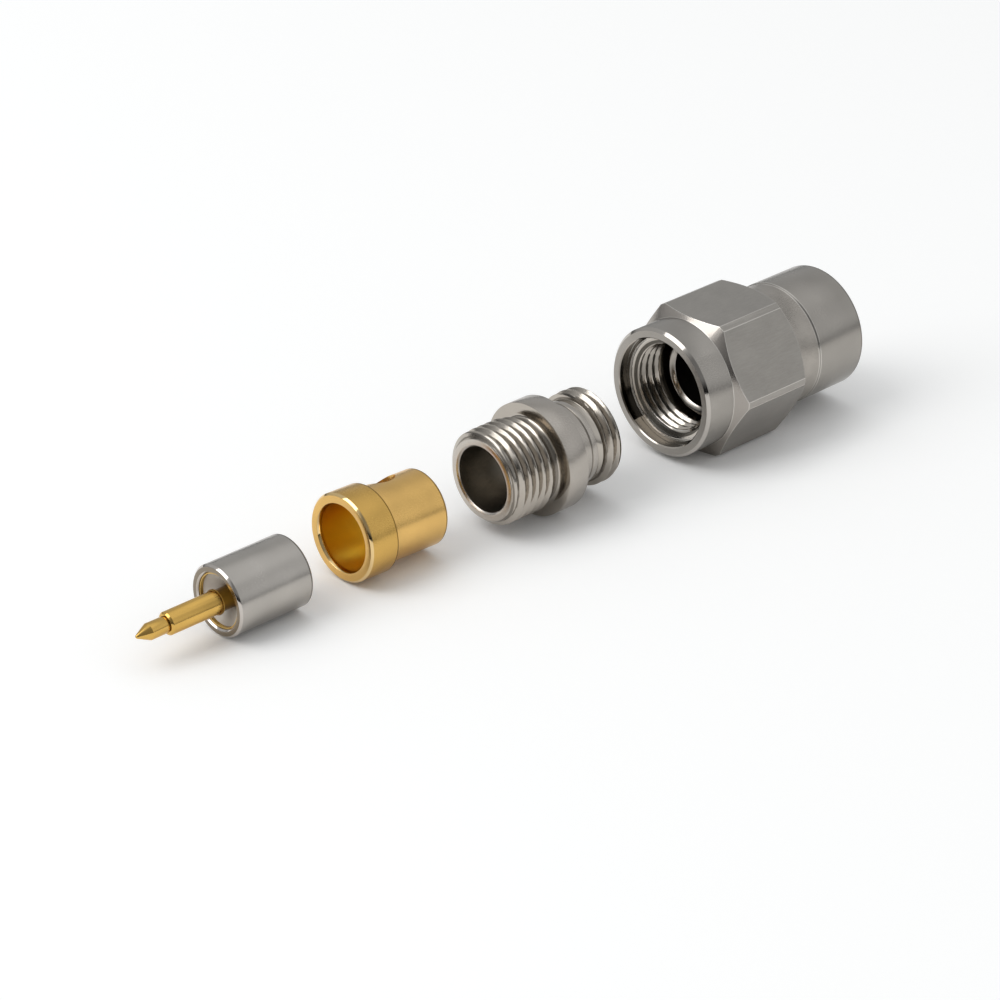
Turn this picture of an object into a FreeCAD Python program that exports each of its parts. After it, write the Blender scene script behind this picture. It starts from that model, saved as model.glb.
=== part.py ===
# A small screw-together coaxial plug for semi-rigid cable, laid out in a row in the order it is put
# together: centre contact in its bead ring, solder sleeve, threaded body, clamp nut. Every piece lies on
# the surface z = 0 with its axis along X. The pin points to -X and the cable leaves at +X.
import FreeCAD, Part
import math
import os
from FreeCAD import Vector

os.makedirs("parts", exist_ok=True)

# Clearances between pieces that go into each other when the plug is put together
press_joint = 0.005         # radial room that a soldered or pressed joint keeps in the solids
slide_fit = 0.03            # radial room of a piece that slides into another by hand

# Cable
cable_r = 1.79              # semi-rigid cable, 3.58 mm over its copper jacket
cable_room = 0.04           # radial room round the cable, taken up by solder in the sleeve

# Centre contact
pin_tip_r = 0.457
pin_nose_r = 0.11           # the point is rounded off to this radius
pin_cone_length = 0.78
pin_tip_length = 1.07       # straight part of the thin tip
pin_body_r = 0.635
pin_shoulder = 0.10         # chamfer between tip and body
pin_body_length = 3.16      # from the shoulder to the rim
pin_rim_r = 0.70
pin_rim_width = 0.10
pin_neck_r = 0.60
pin_cup_r = 0.70            # rear end, drilled for the cable's centre wire
cable_wire_r = 0.46
pin_cup_depth = 1.6
cup_wall = 0.3              # solid metal between the contact's neck and its drilled end

# Bead: light grey insulating disc in a thin gilt shell, in a steel ring
ring_r = 1.985
ring_length = 4.74
ring_chamfer = 0.12
ring_rear_edge = 0.06
ring_wall = 0.454           # thickness of the ring's wall
ring_mouth_bevel = 0.09
shell_wall = 0.08
shell_setback = 0.05        # the shell's end lies this far inside the ring's face
bead_setback = 0.22         # the disc's rim lies this far inside the ring's face
bead_dish = 0.60            # extra depth of the disc's face at the pin
pin_cup_setback = 0.45      # the contact's rear end lies this far inside the ring's rear face

# Solder sleeve
sleeve_collar_r = 2.452
sleeve_collar_length = 1.81
sleeve_length = 5.57
sleeve_r = 2.126
sleeve_chamfer = 0.12
sleeve_mouth_widening = 0.09
sleeve_mouth_depth = 0.25
sleeve_rear_chamfer = 0.07
solder_hole_r = 0.90
solder_hole_turn = 31.0     # degrees from straight up, towards +Y
solder_hole_setback = 0.80  # the hole starts this far behind the collar
sleeve_lean = 2.0           # degrees that the sleeve leans back on its collar's rear edge

# Threaded body
thread_r = 2.69             # crest radius of both threads, 5.38 mm over the crests
thread_pitch = 0.5
thread_depth = 0.307
relief_depth = 0.38         # the reliefs beside the threads go a little below their roots
body_length = 7.85
body_bore_r = 1.856
body_bore_bevel = 0.12
body_bevel_depth = 0.10
body_face_r = 2.28          # outer edge of the flat front face
body_lead_in = 0.36         # length of the lead-in cone on the front thread
front_thread_length = 2.35
front_relief_length = 0.42
relief_fillet = 0.30        # hollow corner between the front relief and the collar
collar_r = 3.20
collar_length = 1.37
collar_edge = 0.05
neck_r = 2.38
neck_length = 1.51
rear_relief_length = 0.42
rear_edge_chamfer = 0.10

# Clamp nut
across_flats = 7.94
corner_cut = 0.11           # how much the six corners are turned down from the sharp point
nut_ring_r = 3.74
nut_ring_length = 1.98
nut_ring_chamfer = 0.16
hex_length = 5.70
front_chamfer_angle = 30.0  # degrees off the plane square to the axis, at the hexagon's front end
rear_chamfer_angle = 38.0   # the same at its rear end
band_r = 3.48
band_length = 1.57
nut_tube_r = 3.55
nut_tube_length = 3.47
nut_tube_edge = 0.07
tail_room = 0.10            # the tail's bore is this much deeper than the sleeve's thin part is long
mouth_r = 3.15
mouth_bevel = 0.06
mouth_groove_r = 3.24       # wide groove just inside the mouth
mouth_groove_length = 0.64
nut_step_r = 3.00           # narrow step behind the groove
nut_step_length = 0.06
nut_lead_in = 0.20
nut_thread_length = 1.59
nut_thread_depth = 0.25
nut_relief_length = 0.40
nut_relief_r = 2.80
seat_r = 2.15               # bright inner edge of the shoulder that presses on the bead ring
seat_bevel = 0.14

# Layout of the row: gaps between the pieces as they are laid out, measured along X
gap_ring_sleeve = 3.422
gap_sleeve_body = 3.273
gap_body_nut = 5.20
ring_side = 1.58            # how far each axis stands off the nut's axis, towards +Y
sleeve_side = 1.525
body_side = 0.30


def turned(profile, axis_x, axis_y, axis_z):
    """A turned piece: a closed outline of (x, radius) corners spun about the piece's own axis."""
    corners = [Vector(axis_x + x, axis_y, axis_z + r) for x, r in profile]
    face = Part.Face(Part.makePolygon(corners + corners[:1]))
    return face.revolve(Vector(axis_x, axis_y, axis_z), Vector(1, 0, 0), 360)


def rounding(centre_x, centre_r, radius, start, end, steps):
    """Outline corners along an arc; angles in degrees, from +X towards larger radii."""
    corners = []
    for i in range(steps + 1):
        turn = math.radians(start + (end - start) * i / steps)
        corners.append((centre_x + radius * math.cos(turn), centre_r + radius * math.sin(turn)))
    return corners


def thread_ridges(start, length, crest, root):
    """Outline corners of a thread, kept as plain ring grooves one pitch apart."""
    corners = []
    for i in range(int(length / thread_pitch)):
        ridge = start + i * thread_pitch
        corners += [(ridge, crest), (ridge + thread_pitch / 2, root), (ridge + thread_pitch, crest)]
    return corners


def hexagon_bar(start, length, flats, corner_r):
    """Hexagon bar along X about the origin, one flat down, with its corners turned to corner_r."""
    sharp = flats / 2 / math.cos(math.pi / 6)
    corners = []
    for i in range(6):
        turn = math.radians(60 * i)
        corners.append(Vector(start, sharp * math.cos(turn), sharp * math.sin(turn)))
    bar = Part.Face(Part.makePolygon(corners + corners[:1])).extrude(Vector(length, 0, 0))
    return bar.common(Part.makeCylinder(corner_r, length, Vector(start, 0, 0), Vector(1, 0, 0)))


def build_contact(x, y, z):
    """The gold pin; x is the place of its point."""
    cone = pin_cone_length
    tip = cone + pin_tip_length
    body = tip + pin_shoulder
    rim = body + pin_body_length
    neck = rim + ring_length - pin_cup_setback - pin_cup_depth - cup_wall
    rear = rim + ring_length - pin_cup_setback
    bottom = rear - pin_cup_depth
    outline = rounding(pin_nose_r, 0, pin_nose_r, 180, 115, 4)
    outline += [(cone, pin_tip_r), (tip, pin_tip_r), (tip, pin_body_r - pin_shoulder), (body, pin_body_r),
                (rim - pin_rim_width, pin_body_r), (rim - pin_rim_width, pin_rim_r), (rim, pin_rim_r),
                (rim, pin_neck_r), (neck, pin_neck_r), (neck, pin_cup_r), (rear, pin_cup_r),
                (rear, cable_wire_r), (bottom, cable_wire_r), (bottom - cable_wire_r / 2, 0)]
    return turned(outline, x, y, z)


def build_ring(x, y, z):
    """The steel ring round the bead; x is the place of its front face."""
    bore = ring_r - ring_wall
    inner = bore + ring_mouth_bevel
    end = ring_length
    outline = [(0, inner), (0, ring_r - ring_chamfer), (ring_chamfer, ring_r), (end - ring_rear_edge, ring_r),
               (end, ring_r - ring_rear_edge), (end, inner), (end - ring_mouth_bevel, bore),
               (ring_mouth_bevel, bore)]
    return turned(outline, x, y, z)


def build_shell(x, y, z):
    """The thin gilt shell between ring and disc."""
    outer = ring_r - ring_wall - press_joint
    inner = ring_r - ring_wall - shell_wall
    start = ring_mouth_bevel + shell_setback
    outline = [(start, inner), (start, outer), (ring_length - start, outer), (ring_length - start, inner)]
    return turned(outline, x, y, z)


def build_bead(x, y, z):
    """The insulating disc, moulded round the pin's neck, with a dished face at both ends."""
    outer = ring_r - ring_wall - shell_wall - press_joint
    inner = pin_neck_r + press_joint
    rim = ring_mouth_bevel + bead_setback
    neck_end = ring_length - pin_cup_setback - pin_cup_depth - cup_wall
    rear = neck_end - press_joint
    outline = [(rim + bead_dish, inner), (rim, outer), (rear, outer), (rear, inner)]
    return turned(outline, x, y, z)


def build_sleeve(x, y):
    """The gold solder sleeve: a collar at the front, a cross hole for solder in the top wall.

    Its middle of mass lies behind the collar, so it is laid down leaning back a little. x is the
    place its front face has before it leans."""
    bore = cable_r + cable_room
    end = sleeve_length
    rear_edge = end - sleeve_rear_chamfer
    outline = [(0, bore + sleeve_mouth_widening), (0, sleeve_collar_r - sleeve_chamfer),
               (sleeve_chamfer, sleeve_collar_r), (sleeve_collar_length, sleeve_collar_r),
               (sleeve_collar_length, sleeve_r), (rear_edge, sleeve_r), (end, sleeve_r - sleeve_rear_chamfer),
               (end, bore), (sleeve_mouth_depth, bore)]
    tube = turned(outline, x, y, sleeve_collar_r)
    turn = math.radians(solder_hole_turn)
    out = Vector(0, math.sin(turn), math.cos(turn))
    hole_x = x + sleeve_collar_length + solder_hole_setback + solder_hole_r
    drill = Part.makeCylinder(solder_hole_r, sleeve_r * 2, Vector(hole_x, y, sleeve_collar_r), out)
    sleeve = tube.cut(drill)
    sleeve.rotate(Vector(x + sleeve_collar_length, y, 0), Vector(0, 1, 0), sleeve_lean)
    return sleeve


def build_body(x, y, z):
    """The steel body: thread, collar and thread outside, cable bore and bead seat inside."""
    seat = ring_r + slide_fit
    stop = body_length - ring_length
    lead = body_lead_in
    relief = lead + front_thread_length
    root_r = thread_r - thread_depth
    relief_r = thread_r - relief_depth
    collar = relief + front_relief_length + relief_fillet
    neck = collar + collar_length
    rear_relief = neck + neck_length
    rear_thread = rear_relief + rear_relief_length
    end = body_length
    outline = [(0, body_bore_r + body_bore_bevel), (0, body_face_r)]
    outline += thread_ridges(lead, front_thread_length, thread_r, root_r)
    outline += [(relief, thread_r), (relief, relief_r)]
    outline += rounding(relief + front_relief_length, relief_r + relief_fillet, relief_fillet, -90, 0, 4)
    outline += [(collar, collar_r - collar_edge), (collar + collar_edge, collar_r),
                (neck - collar_edge, collar_r), (neck, collar_r - collar_edge), (neck, neck_r),
                (rear_relief, neck_r), (rear_relief, relief_r), (rear_thread, relief_r)]
    outline += thread_ridges(rear_thread, end - rear_edge_chamfer - rear_thread, thread_r, root_r)
    outline += [(end - rear_edge_chamfer, thread_r), (end, thread_r - rear_edge_chamfer), (end, seat),
                (stop, seat), (stop, body_bore_r), (body_bevel_depth, body_bore_r)]
    return turned(outline, x, y, z)


def nut_depths():
    """Places of the nut's inner steps, measured from its front face."""
    groove = mouth_bevel
    step = groove + mouth_groove_length
    lead = step + nut_step_length
    thread = lead + nut_lead_in
    relief = thread + nut_thread_length
    seat = relief + nut_relief_length
    return groove, step, lead, thread, relief, seat


def build_nut(x, y, z):
    """The clamp nut: a hexagon with a plain ring in front and a tube behind, turned from one bar."""
    hex_start = nut_ring_length
    hex_end = hex_start + hex_length
    band_end = hex_end + band_length
    end = band_end + nut_tube_length
    sharp = across_flats / 2 / math.cos(math.pi / 6)
    corner_r = sharp - corner_cut
    front_cone = (corner_r - nut_ring_r) * math.tan(math.radians(front_chamfer_angle))
    rear_cone = (corner_r - band_r) * math.tan(math.radians(rear_chamfer_angle))
    # The turned outside, before the six flats are milled
    outside = [(0, 0), (0, nut_ring_r - nut_ring_chamfer), (nut_ring_chamfer, nut_ring_r),
               (hex_start, nut_ring_r), (hex_start + front_cone, corner_r), (hex_end - rear_cone, corner_r),
               (hex_end, band_r), (band_end, band_r), (band_end, nut_tube_r), (end - nut_tube_edge, nut_tube_r),
               (end, nut_tube_r - nut_tube_edge), (end, 0)]
    blank = turned(outside, 0, 0, 0)
    hexagon = hexagon_bar(hex_start, hex_length, across_flats, corner_r)
    front = Part.makeCylinder(nut_ring_r, hex_start, Vector(0, 0, 0), Vector(1, 0, 0))
    rear = Part.makeCylinder(corner_r, end - hex_end, Vector(hex_end, 0, 0), Vector(1, 0, 0))
    milled = blank.common(front.fuse(hexagon).fuse(rear))
    groove, step, lead, thread, relief, seat = nut_depths()
    minor_r = thread_r - nut_thread_depth
    hole_r = cable_r + cable_room
    tail_r = sleeve_r + slide_fit
    tail = end - (sleeve_length - sleeve_collar_length) - tail_room
    hollow = [(0, 0), (0, mouth_r + mouth_bevel), (groove, mouth_r), (groove, mouth_groove_r),
              (step, mouth_groove_r), (step, nut_step_r), (lead, nut_step_r)]
    hollow += thread_ridges(thread, nut_thread_length, minor_r, thread_r)
    hollow += [(relief, minor_r), (relief, nut_relief_r), (seat, nut_relief_r), (seat, seat_r),
               (seat + seat_bevel, hole_r), (tail, hole_r), (tail, tail_r), (end, tail_r), (end, 0)]
    nut = milled.cut(turned(hollow, 0, 0, 0)).removeSplitter()
    nut.translate(Vector(x, y, z))
    return nut


pin_reach = pin_cone_length + pin_tip_length + pin_shoulder + pin_body_length
nut_length = nut_ring_length + hex_length + band_length + nut_tube_length
row_length = (pin_reach + ring_length + gap_ring_sleeve + sleeve_length + gap_sleeve_body + body_length
              + gap_body_nut + nut_length)

pin_x = -row_length / 2
ring_x = pin_x + pin_reach
sleeve_x = ring_x + ring_length + gap_ring_sleeve
body_x = sleeve_x + sleeve_length + gap_sleeve_body
nut_x = body_x + body_length + gap_body_nut

pieces = {
    "contact_pin": build_contact(pin_x, ring_side, ring_r),
    "bead_ring": build_ring(ring_x, ring_side, ring_r),
    "bead_shell": build_shell(ring_x, ring_side, ring_r),
    "bead_insulator": build_bead(ring_x, ring_side, ring_r),
    "solder_sleeve": build_sleeve(sleeve_x, sleeve_side),
    "threaded_body": build_body(body_x, body_side, collar_r),
    "clamp_nut": build_nut(nut_x, 0, across_flats / 2),
}

for name, shape in pieces.items():
    solid = shape if shape.ShapeType == "Solid" else shape.Solids[0]
    solid.exportStep(f"parts/{name}.step")
    box = solid.BoundBox
    print(f"{name}: valid {solid.isValid()}, volume {solid.Volume:.3f} mm3, "
          f"x {box.XMin:.3f} to {box.XMax:.3f}, y {box.YMin:.3f} to {box.YMax:.3f}, "
          f"z {box.ZMin:.3f} to {box.ZMax:.3f}")
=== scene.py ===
import math

import bmesh
import bpy
from mathutils import Matrix, Vector


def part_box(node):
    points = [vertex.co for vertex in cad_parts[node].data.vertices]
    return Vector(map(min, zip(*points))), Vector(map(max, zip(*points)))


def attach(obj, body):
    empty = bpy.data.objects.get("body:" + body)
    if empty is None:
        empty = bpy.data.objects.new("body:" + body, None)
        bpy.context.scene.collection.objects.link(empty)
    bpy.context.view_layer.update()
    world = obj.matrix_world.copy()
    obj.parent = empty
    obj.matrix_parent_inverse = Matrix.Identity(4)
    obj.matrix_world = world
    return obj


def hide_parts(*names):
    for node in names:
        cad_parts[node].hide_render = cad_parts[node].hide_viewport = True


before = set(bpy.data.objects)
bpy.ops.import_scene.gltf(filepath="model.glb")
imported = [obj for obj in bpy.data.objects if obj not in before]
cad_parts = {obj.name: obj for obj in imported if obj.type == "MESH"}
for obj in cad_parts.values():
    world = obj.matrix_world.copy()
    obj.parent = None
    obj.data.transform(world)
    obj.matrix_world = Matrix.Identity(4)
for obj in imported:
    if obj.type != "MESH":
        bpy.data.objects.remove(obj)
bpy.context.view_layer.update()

# Centre contact: the gold pin that carries the signal. It is turned from brass wire, gold plated and
# polished, with a pointed thin tip, a thicker body, a thin raised rim and a neck that the bead grips.
MM = 0.001                  # the pieces' sizes are in mm
TURNS = 192                 # steps round a turned piece
SLACK = 0.01                # how far a painted zone reaches past its faces, or stops short of the next ones


def node_axis(node):
    """Where a piece starts along X, and the height and side of its own axis, in metres."""
    low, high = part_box(node)
    return Vector((low.x, (low.y + high.y) / 2, (low.z + high.z) / 2))


def arc(centre_x, centre_r, radius, start, end, steps):
    """Outline points on an arc; angles in degrees, from +X towards larger radii."""
    points = []
    for i in range(steps + 1):
        turn = math.radians(start + (end - start) * i / steps)
        points.append((centre_x + radius * math.cos(turn), centre_r + radius * math.sin(turn)))
    return points


def dense(start, end, step):
    """Outline points along a straight run, close enough together to take a thread."""
    (x0, r0), (x1, r1) = start, end
    count = max(1, round(math.hypot(x1 - x0, r1 - r0) / step))
    return [(x0 + (x1 - x0) * i / count, r0 + (r1 - r0) * i / count) for i in range(count + 1)]


def spin_outline(outline, start, closed=True):
    """Spins an outline of (x, radius) points in mm about the piece's own axis, as a lathe does."""
    bm = bmesh.new()
    points = [bm.verts.new(start + Vector((x, 0, r)) * MM) for x, r in outline]
    edges = [bm.edges.new(pair) for pair in zip(points, points[1:])]
    if closed:
        edges.append(bm.edges.new((points[-1], points[0])))
    bmesh.ops.spin(bm, geom=points + edges, cent=start, axis=(1, 0, 0), dvec=(0, 0, 0),
                   angle=math.tau, steps=TURNS, use_merge=True)
    bmesh.ops.remove_doubles(bm, verts=bm.verts, dist=1e-8)
    bmesh.ops.recalc_face_normals(bm, faces=bm.faces)
    return bm


def break_edges(bm, size, chosen=lambda edge: True, sharper_than=20.0, segments=2, material=-1):
    """Breaks the sharp edges with a small rounded bevel; size in mm, material the slot it gets."""
    limit = math.radians(sharper_than)
    sharp = [e for e in bm.edges if len(e.link_faces) == 2 and e.calc_face_angle() > limit and chosen(e)]
    bmesh.ops.bevel(bm, geom=sharp, offset=size * MM, offset_type="OFFSET", affect="EDGES",
                    segments=segments, profile=0.5, material=material, clamp_overlap=True)


def paint_zone(bm, start, index, first, last, low=0.0, high=99.0):
    """Gives the faces whose middle lies between two places along the axis and two radii their own slot."""
    for face in bm.faces:
        middle = (face.calc_center_median() - start) / MM
        if first < middle.x < last and low < math.hypot(middle.y, middle.z) < high:
            face.material_index = index


def piece_from(bm, node, name, materials):
    """Turns a finished mesh into the shown piece that stands for a node of the frame."""
    mesh = bpy.data.meshes.new(name)
    bm.to_mesh(mesh)
    bm.free()
    for face in mesh.polygons:
        face.use_smooth = True
    mesh.set_sharp_from_angle(angle=math.radians(40))
    for material in materials:
        mesh.materials.append(material)
    piece = bpy.data.objects.new(name, mesh)
    bpy.context.scene.collection.objects.link(piece)
    weighted = piece.modifiers.new("even_shading", "WEIGHTED_NORMAL")
    weighted.keep_sharp = True
    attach(piece, "root")
    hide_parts(node)


def new_material(name, colour, metallic, roughness):
    """A material with its shader's plain values set on the shader itself."""
    material = bpy.data.materials.new(name)
    material.use_nodes = True
    shader = material.node_tree.nodes["Principled BSDF"]
    shader.inputs["Base Color"].default_value = (*colour, 1)
    shader.inputs["Metallic"].default_value = metallic
    shader.inputs["Roughness"].default_value = roughness
    return material, material.node_tree, shader


def add_node(tree, kind, values=None, **settings):
    """A shader node with its settings and unlinked inputs filled in."""
    node = tree.nodes.new(kind)
    for key, value in settings.items():
        setattr(node, key, value)
    for key, value in (values or {}).items():
        node.inputs[key].default_value = value
    return node


def maths(tree, operation, *values):
    """The result of a Math node on sockets or plain numbers."""
    node = add_node(tree, "ShaderNodeMath", operation=operation)
    for place, value in zip(node.inputs, values):
        if isinstance(value, float):
            place.default_value = value
        else:
            tree.links.new(value, place)
    return node.outputs["Value"]


def fade(tree, value, start, end, at_start=0.0, at_end=1.0):
    """The result of a Map Range node, which goes between two levels while value goes from start to end."""
    node = add_node(tree, "ShaderNodeMapRange",
                    {"From Min": start, "From Max": end, "To Min": at_start, "To Max": at_end})
    tree.links.new(value, node.inputs["Value"])
    return node.outputs["Result"]


def turned_metal(name, start, colour, tint, roughness, spread, groove, groove_per_mm, smear=0.35, lean=0.0):
    """Turned metal: fine tool marks about the piece's axis, with a soft change of colour and gloss.

    start is the piece's own axis, tint how far the colour drifts, spread how far the roughness drifts,
    groove the depth of the tool marks in mm, smear how much the marks change round the turn, and lean
    how far the piece leans back."""
    material, tree, shader = new_material(name, colour, 1.0, roughness)
    link = tree.links.new
    place = add_node(tree, "ShaderNodeTexCoord")
    upright = Matrix.Rotation(-lean, 3, "Y")
    centre = add_node(tree, "ShaderNodeMapping", {"Location": -(upright @ start), "Rotation": (0, -lean, 0)})
    split = add_node(tree, "ShaderNodeSeparateXYZ")
    across = add_node(tree, "ShaderNodeCombineXYZ")
    radius = add_node(tree, "ShaderNodeVectorMath", operation="LENGTH")
    marks_at = add_node(tree, "ShaderNodeCombineXYZ")
    marks = add_node(tree, "ShaderNodeTexNoise",
                     {"Scale": groove_per_mm / MM, "Detail": 3.0, "Roughness": 0.6})
    drift = add_node(tree, "ShaderNodeTexNoise", {"Scale": 0.45 / MM, "Detail": 2.0})
    link(place.outputs["Object"], centre.inputs["Vector"])
    link(centre.outputs["Vector"], split.inputs["Vector"])
    link(split.outputs["Y"], across.inputs["Y"])
    link(split.outputs["Z"], across.inputs["Z"])
    link(across.outputs["Vector"], radius.inputs[0])
    turn = maths(tree, "ARCTAN2", split.outputs["Y"], split.outputs["Z"])
    link(split.outputs["X"], marks_at.inputs["X"])
    link(radius.outputs["Value"], marks_at.inputs["Y"])
    link(maths(tree, "MULTIPLY", turn, smear / groove_per_mm), marks_at.inputs["Z"])
    link(marks_at.outputs["Vector"], marks.inputs["Vector"])
    link(centre.outputs["Vector"], drift.inputs["Vector"])
    # Colour and gloss drift a little with the marks and with the soft patches, whose sum lies about 1
    both = maths(tree, "ADD", marks.outputs["Fac"], drift.outputs["Fac"])
    low, high = 0.7, 1.3
    paint = add_node(tree, "ShaderNodeVectorMath", {0: colour}, operation="SCALE")
    link(fade(tree, both, low, high, 1 - tint, 1 + tint * 0.6), paint.inputs["Scale"])
    link(paint.outputs["Vector"], shader.inputs["Base Color"])
    link(fade(tree, both, low, high, roughness - spread, roughness + spread), shader.inputs["Roughness"])
    relief = add_node(tree, "ShaderNodeBump", {"Strength": 1.0, "Distance": groove * MM})
    link(marks.outputs["Fac"], relief.inputs["Height"])
    link(relief.outputs["Normal"], shader.inputs["Normal"])
    return material


pin_axis = node_axis("contact_pin")
pin_nose = 0.12             # radius of the rounded point
pin_nose_turn = 114         # where its arc meets the cone, in degrees
pin_cone_end = 0.78
pin_tip_end = 1.85
pin_tip_r = 0.457
pin_undercut = 0.06         # length and depth of the fine groove at the tip's rear end
pin_undercut_depth = 0.03
pin_shoulder = 0.10         # height of the cone that leads up to the thicker body
pin_body_start = 1.95
pin_body_r = 0.632
pin_rim_start = 5.01
pin_rim_end = 5.11
pin_rim_r = 0.698
pin_neck_r = 0.60
pin_cup_start = 7.50
pin_cup_r = 0.70
pin_wire_r = 0.46
pin_cup_bottom = 7.80
pin_end = 9.40
pin_groove = pin_tip_end - pin_undercut
pin_outline = arc(pin_nose, 0, pin_nose, 180, pin_nose_turn, 6)
pin_outline += [(pin_cone_end, pin_tip_r), (pin_groove, pin_tip_r),
                (pin_groove, pin_tip_r - pin_undercut_depth), (pin_tip_end, pin_tip_r - pin_undercut_depth),
                (pin_tip_end, pin_body_r - pin_shoulder), (pin_body_start, pin_body_r),
                (pin_rim_start, pin_body_r), (pin_rim_start, pin_rim_r), (pin_rim_end, pin_rim_r),
                (pin_rim_end, pin_neck_r), (pin_cup_start, pin_neck_r), (pin_cup_start, pin_cup_r),
                (pin_end, pin_cup_r), (pin_end, pin_wire_r), (pin_cup_bottom, pin_wire_r),
                (pin_cup_bottom - pin_wire_r / 2, 0)]
pin_mesh = spin_outline(pin_outline, pin_axis, closed=False)
break_edges(pin_mesh, size=0.018)
# Painted shade: a dark gold in the groove at the tip's rear end and at the foot of the rim, and a darker gold
# on the neck behind the rim
PIN_STEP_SHADE, PIN_NECK_SHADE = 1, 2
paint_zone(pin_mesh, pin_axis, PIN_STEP_SHADE, pin_groove - SLACK, pin_tip_end + SLACK, high=pin_tip_r + 2 * SLACK)
paint_zone(pin_mesh, pin_axis, PIN_STEP_SHADE, pin_rim_start - SLACK, pin_rim_start + SLACK)
paint_zone(pin_mesh, pin_axis, PIN_NECK_SHADE, pin_rim_end - SLACK, pin_cup_start)
gold_polished = turned_metal("gold_polished", pin_axis, (0.68, 0.42, 0.11), 0.12, 0.13, 0.04, 0.0008, 14)
gold_step_shade = turned_metal("gold_step_shade", pin_axis, (0.20, 0.11, 0.02), 0.12, 0.25, 0.05, 0.0010, 14)
gold_neck_shade = turned_metal("gold_neck_shade", pin_axis, (0.29, 0.16, 0.024), 0.12, 0.13, 0.04, 0.0010, 14)
piece_from(pin_mesh, "contact_pin", "pin_turned", [gold_polished, gold_step_shade, gold_neck_shade])

# Bead ring: the steel ring that carries the bead. It is a length of turned stainless tube with a broken
# front edge, satin outside, and it drops into its seat in the body's rear.
ring_axis = node_axis("bead_ring")
ring_r = 1.985
ring_length = 4.74
ring_chamfer = 0.12
ring_rear_chamfer = 0.06
ring_wall = 0.454
ring_bore_r = ring_r - ring_wall
ring_bevel = 0.09
ring_inner = ring_bore_r + ring_bevel
ring_line = ring_length - 0.13  # where the painted shade line in front of the rear chamfer begins
ring_line_end = ring_length - ring_rear_chamfer
ring_outline = [(0, ring_inner), (0, ring_r - ring_chamfer), (ring_chamfer, ring_r), (ring_line, ring_r),
                (ring_line_end, ring_r), (ring_length, ring_r - ring_rear_chamfer), (ring_length, ring_inner),
                (ring_length - ring_bevel, ring_bore_r), (ring_bevel, ring_bore_r)]
ring_mesh = spin_outline(ring_outline, ring_axis)
break_edges(ring_mesh, size=0.012)
# Painted light: a dark line of painted shade before the rear chamfer, a lighter steel on the front chamfer
# and the bore's bevel as a painted highlight, and a darker front face as painted shade
RING_SHADE, RING_HIGHLIGHT, RING_FACE_SHADE = 1, 2, 3
FRONT = 0.002               # faces nearer to a piece's front than this lie in its front face
paint_zone(ring_mesh, ring_axis, RING_SHADE, ring_line, ring_line_end, low=ring_r - SLACK)
paint_zone(ring_mesh, ring_axis, RING_HIGHLIGHT, FRONT, ring_chamfer, low=ring_r - ring_chamfer - FRONT)
paint_zone(ring_mesh, ring_axis, RING_HIGHLIGHT, FRONT, ring_bevel, high=ring_inner + SLACK)
paint_zone(ring_mesh, ring_axis, RING_FACE_SHADE, -SLACK, FRONT)
steel_satin = turned_metal("steel_satin", ring_axis, (0.43, 0.403, 0.37), 0.14, 0.23, 0.05, 0.0005, 10)
ring_painted_highlight = turned_metal("ring_painted_highlight", ring_axis, (0.55, 0.51, 0.47), 0.08, 0.08, 0.03, 0.0004, 10)
ring_face_shade = turned_metal("ring_face_shade", ring_axis, (0.26, 0.22, 0.17), 0.10, 0.26, 0.05, 0.0010, 10)
ring_painted_shade = turned_metal("ring_painted_shade", ring_axis, (0.17, 0.155, 0.14), 0.08, 0.35, 0.05, 0.0016, 10)
piece_from(ring_mesh, "bead_ring", "ring_turned",
           [steel_satin, ring_painted_shade, ring_painted_highlight, ring_face_shade])

# Bead shell: a thin gilt lining between ring and disc, spun from gold-plated foil. Only its front edge
# and a narrow strip of its inner wall show, as a gold line round the disc.
shell_axis = node_axis("bead_shell")
FIT = 0.005                 # clearance between the pieces that sit in one another
shell_inset = 0.14          # from the ring's ends to the shell's
shell_reach = 0.08          # from the ring's bore to the shell's inner wall
shell_outer = ring_bore_r - FIT
shell_inner = ring_bore_r - shell_reach
shell_length = ring_length - 2 * shell_inset
shell_outline = [(0, shell_inner), (0, shell_outer), (shell_length, shell_outer), (shell_length, shell_inner)]
shell_mesh = spin_outline(shell_outline, shell_axis)
break_edges(shell_mesh, size=0.018)
gold_shell = turned_metal("gold_shell", shell_axis, (0.60, 0.40, 0.13), 0.12, 0.24, 0.06, 0.0012, 14)
piece_from(shell_mesh, "bead_shell", "shell_spun", [gold_shell])

# Bead insulator: the moulded disc that holds the contact in the middle of the ring. It is a matt pale
# plastic, faced on a lathe, which leaves faint marks on its dished front face.
bead_axis = node_axis("bead_insulator")
bead_outer = shell_inner - FIT
bead_inner = pin_neck_r + FIT
bead_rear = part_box("bead_insulator")[1].x / MM - bead_axis.x / MM
bead_dish = 0.60            # how much deeper the front face lies at the contact than at the rim
bead_outline = [(bead_dish, bead_inner), (0, bead_outer), (bead_rear, bead_outer), (bead_rear, bead_inner)]
bead_mesh = spin_outline(bead_outline, bead_axis)
break_edges(bead_mesh, size=0.02)
bead_plastic = turned_metal("bead_plastic", bead_axis, (0.63, 0.60, 0.56), 0.12, 0.42, 0.05, 0.003, 7)
bead_plastic.node_tree.nodes["Principled BSDF"].inputs["Metallic"].default_value = 0.0
piece_from(bead_mesh, "bead_insulator", "bead_faced", [bead_plastic])

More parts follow.
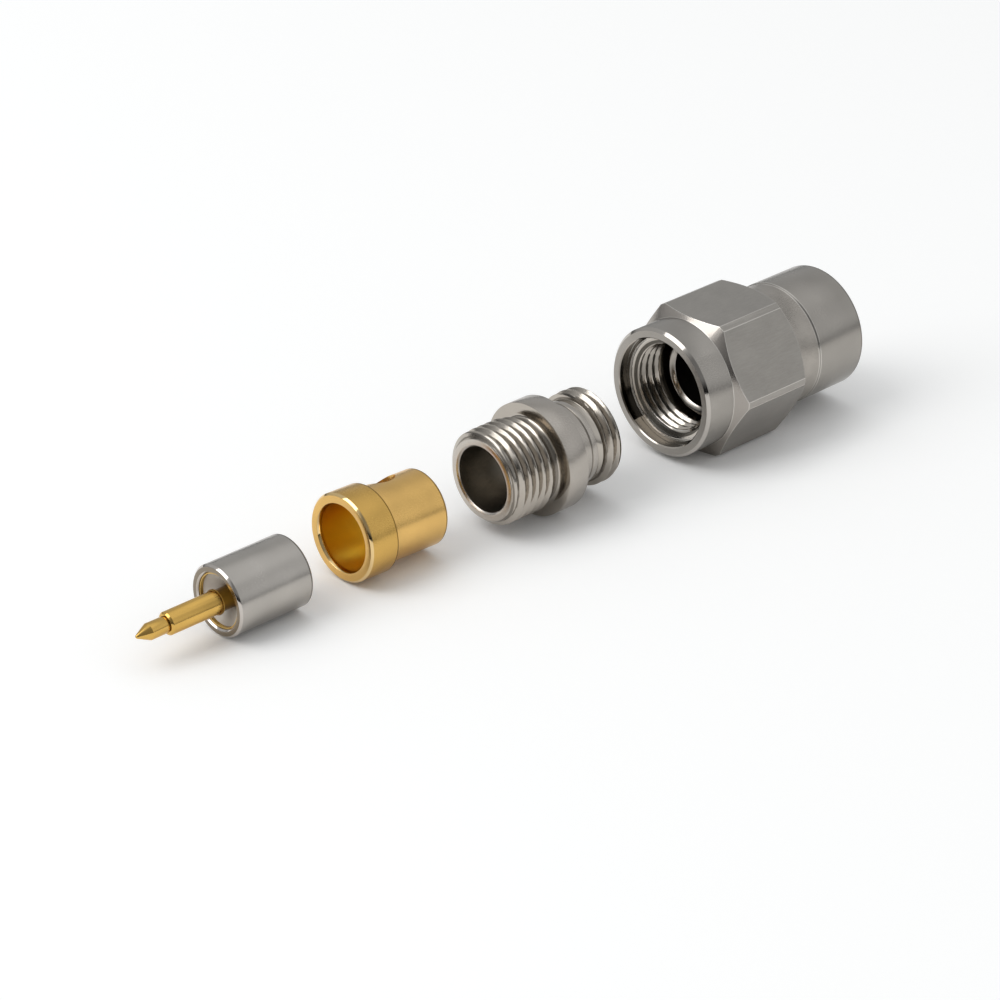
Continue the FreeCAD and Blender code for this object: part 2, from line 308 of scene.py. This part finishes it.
# Solder sleeve: the gold collar and tube that the cable's copper jacket is soldered into. It is turned
# brass, gold plated and satin, with a cross hole behind the collar where the solder goes in.
sleeve_bore = 1.83
sleeve_collar_r = 2.452
sleeve_collar_length = 1.81
sleeve_length = 5.57
sleeve_r = 2.126
sleeve_chamfer = 0.12
sleeve_mouth = 0.09
sleeve_mouth_depth = 0.25
sleeve_edge = 0.07          # width of the rear chamfer, and of the painted shade line before each rear edge
sleeve_rear_edge = sleeve_length - sleeve_edge
sleeve_collar_edge = sleeve_collar_length - sleeve_edge
sleeve_step = 0.12          # between the rings of points that the cross hole is cut through
solder_hole_r = 0.90
solder_hole_turn = math.radians(31)
solder_hole_gap = 0.80      # between the collar and the hole
solder_hole_x = sleeve_collar_length + solder_hole_gap + solder_hole_r
# It lies leaning back a little, turned about the place where its collar's rear edge touches the table
sleeve_lean = math.radians(2.0)
sleeve_low, sleeve_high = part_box("solder_sleeve")
sleeve_front = sleeve_collar_length * math.cos(sleeve_lean) - sleeve_chamfer * math.sin(sleeve_lean)
sleeve_foot = Vector((sleeve_low.x + sleeve_front * MM, (sleeve_low.y + sleeve_high.y) / 2, 0))
sleeve_axis = sleeve_foot + Vector((-sleeve_collar_length, 0, sleeve_collar_r)) * MM
sleeve_outline = [(0, sleeve_bore + sleeve_mouth), (0, sleeve_collar_r - sleeve_chamfer),
                  (sleeve_chamfer, sleeve_collar_r), (sleeve_collar_edge, sleeve_collar_r),
                  (sleeve_collar_length, sleeve_collar_r)]
sleeve_line = sleeve_rear_edge - sleeve_edge
sleeve_outline += dense((sleeve_collar_length, sleeve_r), (sleeve_line, sleeve_r), sleeve_step)
sleeve_outline += [(sleeve_rear_edge, sleeve_r), (sleeve_length, sleeve_r - sleeve_edge)]
sleeve_outline += dense((sleeve_length, sleeve_bore), (sleeve_mouth_depth, sleeve_bore), sleeve_step)
sleeve_mesh = spin_outline(sleeve_outline, sleeve_axis)
# Painted light: dark lines of painted shade at the collar's rear edge and before the tube's rear chamfer, and
# a lighter gold on the collar's chamfer and the mouth's bevel as a painted highlight
SLEEVE_COLLAR, SLEEVE_BORE, SLEEVE_SHADE, SLEEVE_GLINT = 1, 2, 3, 4
collar_only = sleeve_r + 0.1  # faces further out than this belong to the collar
paint_zone(sleeve_mesh, sleeve_axis, SLEEVE_BORE, SLACK, sleeve_length, high=sleeve_bore + 2 * SLACK)
paint_zone(sleeve_mesh, sleeve_axis, SLEEVE_COLLAR, sleeve_chamfer, sleeve_collar_edge, low=collar_only)
break_edges(sleeve_mesh, size=0.012)
paint_zone(sleeve_mesh, sleeve_axis, SLEEVE_SHADE, sleeve_collar_edge, sleeve_collar_length, low=collar_only)
paint_zone(sleeve_mesh, sleeve_axis, SLEEVE_SHADE, sleeve_line, sleeve_rear_edge - SLACK, low=sleeve_r - SLACK)
paint_zone(sleeve_mesh, sleeve_axis, SLEEVE_GLINT, FRONT, sleeve_chamfer, low=collar_only)
paint_zone(sleeve_mesh, sleeve_axis, SLEEVE_GLINT, FRONT, sleeve_mouth_depth, low=sleeve_bore + SLACK,
           high=sleeve_r)
drill_mesh = bmesh.new()
hole_out = Vector((0, math.sin(solder_hole_turn), math.cos(solder_hole_turn)))
hole_place = sleeve_axis + Vector((solder_hole_x * MM, 0, 0)) + hole_out * sleeve_r * MM
bmesh.ops.create_cone(drill_mesh, cap_ends=True, segments=64, radius1=solder_hole_r * MM,
                      radius2=solder_hole_r * MM, depth=sleeve_r * MM,
                      matrix=Matrix.Translation(hole_place) @ Matrix.Rotation(-solder_hole_turn, 4, "X"))
blanks = []
for part_mesh in (sleeve_mesh, drill_mesh):
    data = bpy.data.meshes.new("sleeve_blank")
    part_mesh.to_mesh(data)
    part_mesh.free()
    blanks.append(bpy.data.objects.new("sleeve_blank", data))
    bpy.context.scene.collection.objects.link(blanks[-1])
hole_cut = blanks[0].modifiers.new("solder_hole", "BOOLEAN")
hole_cut.operation = "DIFFERENCE"
hole_cut.solver = "EXACT"
hole_cut.object = blanks[1]
bpy.context.view_layer.update()
drilled = bpy.data.meshes.new_from_object(blanks[0].evaluated_get(bpy.context.evaluated_depsgraph_get()))
for blank in blanks:
    bpy.data.objects.remove(blank)
sleeve_mesh = bmesh.new()
sleeve_mesh.from_mesh(drilled)
lean_back = Matrix.Rotation(sleeve_lean, 3, "Y")
bmesh.ops.rotate(sleeve_mesh, verts=sleeve_mesh.verts, cent=sleeve_foot, matrix=lean_back)
sleeve_axis = sleeve_foot + lean_back @ (sleeve_axis - sleeve_foot)
gold_brushed = turned_metal("gold_brushed", sleeve_axis, (0.75, 0.47, 0.155), 0.16, 0.24, 0.05, 0.0005, 10,
                            lean=sleeve_lean)
gold_collar = turned_metal("gold_collar", sleeve_axis, (0.65, 0.40, 0.11), 0.16, 0.25, 0.05, 0.0005, 10,
                           lean=sleeve_lean)
gold_bore = turned_metal("gold_bore", sleeve_axis, (0.80, 0.49, 0.045), 0.10, 0.36, 0.05, 0.0012, 8,
                         lean=sleeve_lean)
gold_edge_shade = turned_metal("gold_edge_shade", sleeve_axis, (0.24, 0.135, 0.03), 0.10, 0.35, 0.05, 0.0014, 10,
                         lean=sleeve_lean)
gold_glint = turned_metal("gold_glint", sleeve_axis, (0.80, 0.58, 0.28), 0.08, 0.08, 0.03, 0.0004, 10,
                          lean=sleeve_lean)
piece_from(sleeve_mesh, "solder_sleeve", "sleeve_turned",
           [gold_brushed, gold_collar, gold_bore, gold_edge_shade, gold_glint])

# Threaded body: the steel heart of the plug, turned in one piece from bar. The long thread in front takes
# the mating nut, the collar is its stop, and the short thread behind takes the clamp nut.
body_axis = node_axis("threaded_body")
thread_r = 2.69
thread_pitch = 0.5
thread_depth = 0.307
body_length = 7.85
body_bore = 1.856
body_bevel = 0.12
body_bevel_depth = 0.10
body_face_r = 2.28
body_lead = 0.36
body_thread_end = body_lead + 2.35
body_root = thread_r - 0.38  # the reliefs beside the threads
body_run_out = 0.08         # from the last crest down to the relief
body_relief_end = body_thread_end + 0.42
body_fillet = 0.30
body_shade_end = body_relief_end + 0.22  # how far up the fillet the relief's painted shade goes
body_shade_r = body_root + 0.14
body_collar = body_relief_end + body_fillet
body_collar_r = 3.20
body_neck = body_collar + 1.37
body_neck_r = 2.38
body_line = body_neck + 1.06  # the fine double line on the neck
body_line_depth = 0.03
body_line_end = body_neck + 1.17
body_line_r = body_neck_r - body_line_depth
body_rear_relief = body_neck + 1.51
body_rear_step = 0.03
body_rear_thread = body_rear_relief + 0.42
body_rear_lead = 0.12
body_rear_end = body_length - 0.10
body_rear_chamfer = 0.12
SLIDE = 0.03                # clearance of what slides into a seat or a tail bore
body_seat = ring_r + SLIDE
body_stop = body_length - ring_length
thread_step = 0.022         # between the rings of points that a thread is cut into
thread_crest = 0.08         # share of half a pitch that stays flat on the crest
thread_flank = 0.76         # share of half a pitch that the flank takes; the rest is the flat root
thread_reach = 1.5          # thread depths below the crest that an outside cut still moves
thread_shade = 0.84         # share of the depth at which the root's painted shade begins


def cut_thread(bm, start, first, last, crest, depth, pitch, inside=False):
    """Cuts a right-hand thread into the dense stretch of a turned wall between two places in mm.

    Each point sinks to the thread's own form where that lies below the wall, and by half as much on the
    cone that leads in, so the thread runs out as it does when the tool leaves the metal."""
    for vert in bm.verts:
        x = (vert.co.x - start.x) / MM
        off = Vector((0, vert.co.y - start.y, vert.co.z - start.z))
        r = off.length / MM
        if not first < x < last or (not inside and r < crest - thread_reach * depth):
            continue
        turn = math.atan2(off.y, off.z) / math.tau
        wave = abs(((x / pitch - turn) % 1.0) * 2 - 1)
        sink = depth * min(max((wave - thread_crest) / thread_flank, 0.0), 1.0)
        if inside:
            new_r = max(r, crest + sink)
        elif r < crest:
            new_r = min(r - sink / 2, crest - sink)
        else:
            new_r = min(r, crest - sink)
        vert.co = Vector((vert.co.x, start.y, start.z)) + off * (new_r / r)


body_outline = [(0, body_bore + body_bevel), (0, body_face_r)]
body_outline += dense((0, body_face_r), (body_lead, thread_r), thread_step)[1:]
body_outline += dense((body_lead, thread_r), (body_thread_end, thread_r), thread_step)[1:]
body_outline += [(body_thread_end + body_run_out, body_root), (body_relief_end, body_root)]
body_outline += arc(body_relief_end, body_root + body_fillet, body_fillet, -90, 0, 10)[1:]
body_outline += [(body_collar, body_collar_r), (body_neck, body_collar_r), (body_neck, body_neck_r),
                 (body_line, body_neck_r), (body_line + body_line_depth, body_line_r),
                 (body_line_end - body_line_depth, body_line_r), (body_line_end, body_neck_r),
                 (body_rear_relief, body_neck_r), (body_rear_relief + body_rear_step, body_root),
                 (body_rear_thread, body_root)]
body_rear_crest = body_rear_thread + body_rear_lead
body_outline += dense((body_rear_thread, body_root), (body_rear_crest, thread_r), thread_step)[1:]
body_outline += dense((body_rear_crest, thread_r), (body_rear_end, thread_r), thread_step)[1:]
body_outline += dense((body_rear_end, thread_r), (body_length, thread_r - body_rear_chamfer), thread_step)[1:]
body_outline += [(body_length, body_seat), (body_stop, body_seat), (body_stop, body_bore),
                 (body_bevel_depth, body_bore)]
body_mesh = spin_outline(body_outline, body_axis)
break_edges(body_mesh, size=0.015)
front_thread = 2 * SLACK, body_thread_end + 0.05
rear_thread = body_rear_thread + 2 * SLACK, body_length - 2 * SLACK
for first, last in (front_thread, rear_thread):
    cut_thread(body_mesh, body_axis, first, last, thread_r, thread_depth, thread_pitch)
# Painted light: the front face gets a lighter steel as painted light; the bore, the relief up the fillet's
# foot, the neck's fine line and the thread roots get dark steel as painted shade
BODY_COLLAR, BODY_BORE_SHADE, BODY_SHADE, BODY_FACE_LIGHT = 1, 2, 3, 4
paint_zone(body_mesh, body_axis, BODY_FACE_LIGHT, -SLACK, body_bevel_depth, high=body_face_r - SLACK)
paint_zone(body_mesh, body_axis, BODY_SHADE, body_thread_end + body_run_out, body_shade_end, high=body_shade_r)
paint_zone(body_mesh, body_axis, BODY_COLLAR, body_collar + 2 * SLACK, body_rear_relief,
           low=body_neck_r - SLACK)
paint_zone(body_mesh, body_axis, BODY_BORE_SHADE, body_bevel_depth, body_length, high=body_bore + 2 * SLACK)
paint_zone(body_mesh, body_axis, BODY_SHADE, body_line, body_line_end, low=body_line_r - SLACK,
           high=body_neck_r - SLACK)
for first, last in (front_thread, (body_rear_thread, rear_thread[1])):
    paint_zone(body_mesh, body_axis, BODY_SHADE, first, last, low=thread_r - thread_depth - 0.05,
               high=thread_r - thread_depth * thread_shade)
steel_turned = turned_metal("steel_turned", body_axis, (0.47, 0.43, 0.38), 0.08, 0.14, 0.04, 0.0010, 12)
steel_collar = turned_metal("steel_collar", body_axis, (0.435, 0.40, 0.36), 0.12, 0.25, 0.05, 0.0006, 12)
steel_bore_shade = turned_metal("steel_bore_shade", body_axis, (0.28, 0.25, 0.205), 0.10, 0.34, 0.05, 0.0012, 12)
steel_root_shade = turned_metal("steel_root_shade", body_axis, (0.23, 0.205, 0.175), 0.10, 0.25, 0.05, 0.0010, 12)
steel_face_light = turned_metal("steel_face_light", body_axis, (0.56, 0.52, 0.47), 0.08, 0.28, 0.05, 0.0010, 12)
piece_from(body_mesh, "threaded_body", "body_turned",
           [steel_turned, steel_collar, steel_bore_shade, steel_root_shade, steel_face_light])

# Clamp nut: the hexagon nut that pulls the plug together and carries the cable's tail. Ring, band, tube
# and bore are turned, then the six flats are milled, which leaves the curved edges at both ends.
nut_axis = node_axis("clamp_nut")
nut_length = 12.72
across_flats = 7.94
nut_corner_cut = 0.11       # how much turning takes off the hexagon's corners
nut_corner_r = across_flats / 2 / math.cos(math.pi / 6) - nut_corner_cut
nut_ring_r = 3.74
nut_ring_end = 1.98
nut_ring_chamfer = 0.16
nut_hex_end = nut_ring_end + 5.70
nut_band_r = 3.48
nut_band_end = nut_hex_end + 1.57
nut_band_slope = 0.10
nut_tube_r = 3.55
nut_tube_edge = 0.07        # width of the rear chamfer, and of the painted shade line before it
nut_front_cone = nut_ring_end + (nut_corner_r - nut_ring_r) * math.tan(math.radians(30))
nut_rear_cone = nut_hex_end - (nut_corner_r - nut_band_r) * math.tan(math.radians(38))
nut_mouth_r = 3.15
nut_groove_r = 3.24
nut_step_r = 3.00
nut_thread_depth = 0.25
nut_minor = thread_r - nut_thread_depth
nut_thread_shade = 0.66     # share of the depth at which the root's painted shade begins
nut_lead_r = nut_step_r - 0.08  # where the cone that leads into the thread begins
nut_relief_r = 2.80
nut_hole = 1.83
nut_seat_r = 2.15
nut_seat_slope = 0.14
nut_tail_r = sleeve_r + SLIDE
nut_tail_spare = 0.10       # between the sleeve's end and the tail bore's floor
nut_tail = nut_length - (sleeve_length - sleeve_collar_length) - nut_tail_spare
nut_mouth_bevel = 0.06
nut_groove = 0.06
nut_groove_slope = 0.10
nut_step = 0.70
nut_lead = 0.76
nut_thread = 0.96
nut_relief = 2.55
nut_run_out = 0.02          # from the last crest out to the relief
nut_seat = 2.95
nut_tube_line = nut_length - 2 * nut_tube_edge
nut_outline = [(0, nut_mouth_r + nut_mouth_bevel), (0, nut_ring_r - nut_ring_chamfer),
               (nut_ring_chamfer, nut_ring_r), (nut_ring_end, nut_ring_r), (nut_front_cone, nut_corner_r),
               (nut_rear_cone, nut_corner_r), (nut_hex_end, nut_band_r),
               (nut_band_end - nut_band_slope, nut_band_r), (nut_band_end, nut_tube_r),
               (nut_tube_line, nut_tube_r), (nut_length - nut_tube_edge, nut_tube_r),
               (nut_length, nut_tube_r - nut_tube_edge), (nut_length, nut_tail_r), (nut_tail, nut_tail_r),
               (nut_tail, nut_hole), (nut_seat + nut_seat_slope, nut_hole), (nut_seat, nut_seat_r),
               (nut_seat, nut_relief_r), (nut_relief + nut_run_out, nut_relief_r)]
nut_outline += dense((nut_relief, nut_minor), (nut_thread, nut_minor), thread_step)
nut_outline += dense((nut_thread, nut_minor), (nut_lead, nut_lead_r), thread_step)[1:]
nut_outline += [(nut_lead, nut_step_r), (nut_step, nut_step_r), (nut_step, nut_groove_r),
                (nut_groove + nut_groove_slope, nut_groove_r), (nut_groove, nut_mouth_r)]
nut_mesh = spin_outline(nut_outline, nut_axis)
flats = []
for i in range(6):
    turn = math.radians(60 * i)
    out = Vector((0, math.sin(turn), math.cos(turn)))
    cut = bmesh.ops.bisect_plane(nut_mesh, geom=nut_mesh.verts[:] + nut_mesh.edges[:] + nut_mesh.faces[:],
                                 plane_co=nut_axis + out * across_flats / 2 * MM, plane_no=out,
                                 clear_outer=True)
    rim = [e for e in cut["geom_cut"] if isinstance(e, bmesh.types.BMEdge)]
    flats += bmesh.ops.contextual_create(nut_mesh, geom=rim)["faces"]
bmesh.ops.recalc_face_normals(nut_mesh, faces=nut_mesh.faces)


def nut_x(face):
    """How far a face's middle lies behind the nut's front face, in mm."""
    return (face.calc_center_median().x - nut_axis.x) / MM


def nut_r(face):
    """How far a face's middle lies from the nut's axis, in mm."""
    middle = face.calc_center_median() - nut_axis
    return math.hypot(middle.y, middle.z) / MM


# The bore is deep and painted near-black as shade, the rest of the inside polished but for the rear face's
# rim
TURNED, MILLED, BAND, INNER, CONE, EDGE_HIGHLIGHT, REAR_SHADE, ROOT_SHADE, DEEP_SHADE, GROOVE_SHADE, SHINE = range(11)
flat_faces = set(flats)
for face in nut_mesh.faces:
    x, r = nut_x(face), nut_r(face)
    if face in flat_faces:
        face.material_index = MILLED
    elif r < nut_hole + 2 * SLACK:
        face.material_index = DEEP_SHADE
    elif r < nut_groove_r + 2 * SLACK and x < nut_length - 0.1:
        face.material_index = INNER
    elif nut_hex_end < x < nut_band_end and r < nut_tube_r - 0.05:
        face.material_index = BAND
    elif nut_front_cone < x < nut_rear_cone:
        face.material_index = MILLED
    elif nut_ring_end < x < nut_hex_end:
        face.material_index = CONE
    else:
        face.material_index = TURNED
# Painted highlight: the broken edges behind the front chamfer get a lighter steel
break_edges(nut_mesh, size=0.022, material=EDGE_HIGHLIGHT,
            chosen=lambda edge: all(nut_x(face) > nut_ring_chamfer for face in edge.link_faces))
break_edges(nut_mesh, size=0.012)
cut_thread(nut_mesh, nut_axis, nut_lead + 2 * SLACK, nut_relief - SLACK, nut_minor, nut_thread_depth,
           thread_pitch, inside=True)
# Painted shade: dark steel in the thread's roots, the relief, the mouth's groove and a line before the rear
# chamfer
paint_zone(nut_mesh, nut_axis, ROOT_SHADE, nut_lead, nut_relief,
           low=nut_minor + nut_thread_depth * nut_thread_shade, high=nut_relief_r)
paint_zone(nut_mesh, nut_axis, ROOT_SHADE, nut_relief - SLACK, nut_seat - SLACK, low=nut_minor,
           high=nut_relief_r + SLACK)
paint_zone(nut_mesh, nut_axis, GROOVE_SHADE, nut_groove + 2 * SLACK, nut_step - SLACK, low=nut_mouth_r + 2 * SLACK,
           high=nut_groove_r + SLACK)
paint_zone(nut_mesh, nut_axis, REAR_SHADE, nut_tube_line, nut_length - nut_tube_edge - SLACK / 2,
           low=nut_tube_r - SLACK)
# Painted highlight: a lighter steel on the front chamfer
paint_zone(nut_mesh, nut_axis, SHINE, FRONT, nut_ring_chamfer, low=nut_ring_r - nut_ring_chamfer - FRONT,
           high=nut_ring_r + SLACK)
nut_turned = turned_metal("nut_turned", nut_axis, (0.355, 0.332, 0.303), 0.12, 0.24, 0.05, 0.0005, 9)
nut_band = turned_metal("nut_band", nut_axis, (0.39, 0.36, 0.325), 0.30, 0.31, 0.08, 0.0010, 7)
nut_inner = turned_metal("nut_inner", nut_axis, (0.50, 0.46, 0.41), 0.08, 0.11, 0.03, 0.0008, 12)
nut_cone = turned_metal("nut_cone", nut_axis, (0.37, 0.34, 0.31), 0.08, 0.21, 0.05, 0.0012, 9)
nut_edge_highlight = turned_metal("nut_edge_highlight", nut_axis, (0.60, 0.57, 0.53), 0.08, 0.17, 0.04, 0.0008, 9)
nut_root_shade = turned_metal("nut_root_shade", nut_axis, (0.11, 0.10, 0.085), 0.10, 0.25, 0.05, 0.0010, 9)
nut_groove_shade = turned_metal("nut_groove_shade", nut_axis, (0.11, 0.10, 0.085), 0.10, 0.13, 0.04,
                                0.0008, 9)
nut_shine = turned_metal("nut_shine", nut_axis, (0.47, 0.44, 0.405), 0.08, 0.09, 0.03, 0.0004, 9)
nut_deep_shade = turned_metal("nut_deep_shade", nut_axis, (0.10, 0.09, 0.075), 0.10, 0.35, 0.05, 0.0010, 9)
nut_rear_shade = turned_metal("nut_rear_shade", nut_axis, (0.17, 0.155, 0.14), 0.08, 0.35, 0.05, 0.0016, 9)


def milled_metal(name, colour, tint, roughness):
    """Milled flats: a fine even grain with faint streaks along the cutter's path."""
    material, tree, shader = new_material(name, colour, 1.0, roughness)
    link = tree.links.new
    place = add_node(tree, "ShaderNodeTexCoord")
    stretch = add_node(tree, "ShaderNodeMapping", {"Scale": (0.12, 1.0, 1.0)})
    streaks = add_node(tree, "ShaderNodeTexNoise", {"Scale": 14.0 / MM, "Detail": 2.0})
    grain = add_node(tree, "ShaderNodeTexNoise", {"Scale": 24.0 / MM, "Detail": 2.0})
    patches = add_node(tree, "ShaderNodeTexNoise", {"Scale": 0.7 / MM, "Detail": 3.0})
    link(place.outputs["Object"], stretch.inputs["Vector"])
    link(stretch.outputs["Vector"], streaks.inputs["Vector"])
    link(place.outputs["Object"], grain.inputs["Vector"])
    link(place.outputs["Object"], patches.inputs["Vector"])
    both = maths(tree, "ADD", streaks.outputs["Fac"], grain.outputs["Fac"])
    # Colour drifts with all three, whose sum lies about 1.5
    worn = maths(tree, "ADD", both, patches.outputs["Fac"])
    low, high = 1.1, 1.9
    paint = add_node(tree, "ShaderNodeVectorMath", {0: colour}, operation="SCALE")
    link(fade(tree, worn, low, high, 1 - tint, 1 + tint), paint.inputs["Scale"])
    link(paint.outputs["Vector"], shader.inputs["Base Color"])
    relief = add_node(tree, "ShaderNodeBump", {"Strength": 1.0, "Distance": 0.0006 * MM})
    link(both, relief.inputs["Height"])
    link(relief.outputs["Normal"], shader.inputs["Normal"])
    return material


nut_milled = milled_metal("nut_milled", (0.35, 0.328, 0.30), 0.09, 0.34)
piece_from(nut_mesh, "clamp_nut", "nut_milled_turned",
           [nut_turned, nut_milled, nut_band, nut_inner, nut_cone, nut_edge_highlight, nut_rear_shade, nut_root_shade,
            nut_deep_shade, nut_groove_shade, nut_shine])

# Surface, studio and camera: a white table under one soft box high on the left, in a pale room with a
# bright window pane. The camera looks from the contact's side and from above, with a long lens.
floor_mesh = bmesh.new()
bmesh.ops.create_grid(floor_mesh, x_segments=1, y_segments=1, size=0.9)
floor_data = bpy.data.meshes.new("table")
floor_mesh.to_mesh(floor_data)
floor_mesh.free()
floor = bpy.data.objects.new("table", floor_data)
bpy.context.scene.collection.objects.link(floor)
floor_material, floor_tree, floor_shader = new_material("table_white", (0.95, 0.945, 0.935), 0.0, 0.9)
floor_shader.inputs["Specular IOR Level"].default_value = 0.1
floor_shader.inputs["Emission Color"].default_value = (1, 1, 1, 1)
# The camera, and metal and glass, see the table with a little light added, which brings it to white. The
# added light fades where the pieces shade the table, so that the shade under them stays deep.
floor_lift = 0.16
rays = add_node(floor_tree, "ShaderNodeLightPath")
openness = add_node(floor_tree, "ShaderNodeAmbientOcclusion", {"Distance": 4.5 * MM}, samples=8)
seen = maths(floor_tree, "MAXIMUM", rays.outputs["Is Camera Ray"], rays.outputs["Is Glossy Ray"])
seen = maths(floor_tree, "MAXIMUM", seen, rays.outputs["Is Transmission Ray"])
lift = maths(floor_tree, "MULTIPLY", maths(floor_tree, "MULTIPLY", seen, floor_lift), openness.outputs["AO"])
floor_tree.links.new(lift, floor_shader.inputs["Emission Strength"])
floor_data.materials.append(floor_material)


def soft_box(name, towards, distance, size, power):
    """A rectangular soft box, seen from the row in the given direction and turned to face it."""
    data = bpy.data.lights.new(name, "AREA")
    data.shape = "RECTANGLE"
    data.size, data.size_y = size
    data.energy = power
    lamp = bpy.data.objects.new(name, data)
    lamp.location = Vector(towards).normalized() * distance
    lamp.rotation_euler = (-Vector(towards)).to_track_quat("-Z", "Y").to_euler()
    bpy.context.scene.collection.objects.link(lamp)


soft_box("key", towards=(-0.66, 0.34, 0.72), distance=0.5, size=(0.30, 0.42), power=1.05)

# The room's grey by height, from the table's level up to the ceiling
world = bpy.data.worlds.new("studio")
bpy.context.scene.world = world
world.use_nodes = True
sky = world.node_tree
background = sky.nodes["Background"]
direction = add_node(sky, "ShaderNodeTexCoord").outputs["Generated"]
split = add_node(sky, "ShaderNodeSeparateXYZ")
dome = add_node(sky, "ShaderNodeValToRGB")
stops = dome.color_ramp.elements
stops[0].color = (0.147, 0.15, 0.152, 1)
stops[1].color = (0.98, 1.0, 1.015, 1)
for position, grey in ((0.05, 0.28), (0.13, 0.62), (0.30, 0.76), (0.70, 0.72), (0.86, 1.0)):
    stops.new(position).color = (grey * 0.98, grey, grey * 1.015, 1)
sky.links.new(direction, split.inputs["Vector"])
sky.links.new(split.outputs["Z"], dome.inputs["Fac"])
sky.links.new(dome.outputs["Color"], background.inputs["Color"])
# Its level: dark in the low corner to the left (-X), a little lighter towards -Y, dim on the viewer's side,
# and bright in a window pane to the left, which the polished edges reflect
x, y, z = (split.outputs[axis] for axis in "XYZ")
corner = maths(sky, "MULTIPLY", fade(sky, x, -0.25, -0.65), fade(sky, z, 0.30, 0.12))
viewer = maths(sky, "MULTIPLY", fade(sky, y, 0.05, -0.25), fade(sky, x, 0.35, 0.0))
facing = add_node(sky, "ShaderNodeVectorMath", {1: (-0.932, 0.20, 0.30)}, operation="DOT_PRODUCT")
sky.links.new(direction, facing.inputs[0])
level = fade(sky, corner, 0.0, 1.0, at_start=1.0, at_end=0.12)
for change in (fade(sky, y, -1.0, 1.0, at_start=1.12, at_end=0.76),
               fade(sky, viewer, 0.0, 1.0, at_start=1.0, at_end=0.35),
               fade(sky, facing.outputs["Value"], 0.965, 0.985, at_start=1.0, at_end=2.0)):
    level = maths(sky, "MULTIPLY", level, change)
sky.links.new(level, background.inputs["Strength"])

camera_data = bpy.data.cameras.new("camera")
camera_data.sensor_width = 36.0
camera_data.lens = 126.0
camera_data.clip_start = 0.01
camera = bpy.data.objects.new("camera", camera_data)
camera.location = (-0.112396, -0.119352, 0.090433)
camera.rotation_euler = (math.radians(90 - 28.49), 0, math.radians(-43.083))
bpy.context.scene.collection.objects.link(camera)
bpy.context.scene.camera = camera
bpy.context.scene.view_settings.view_transform = "Standard"
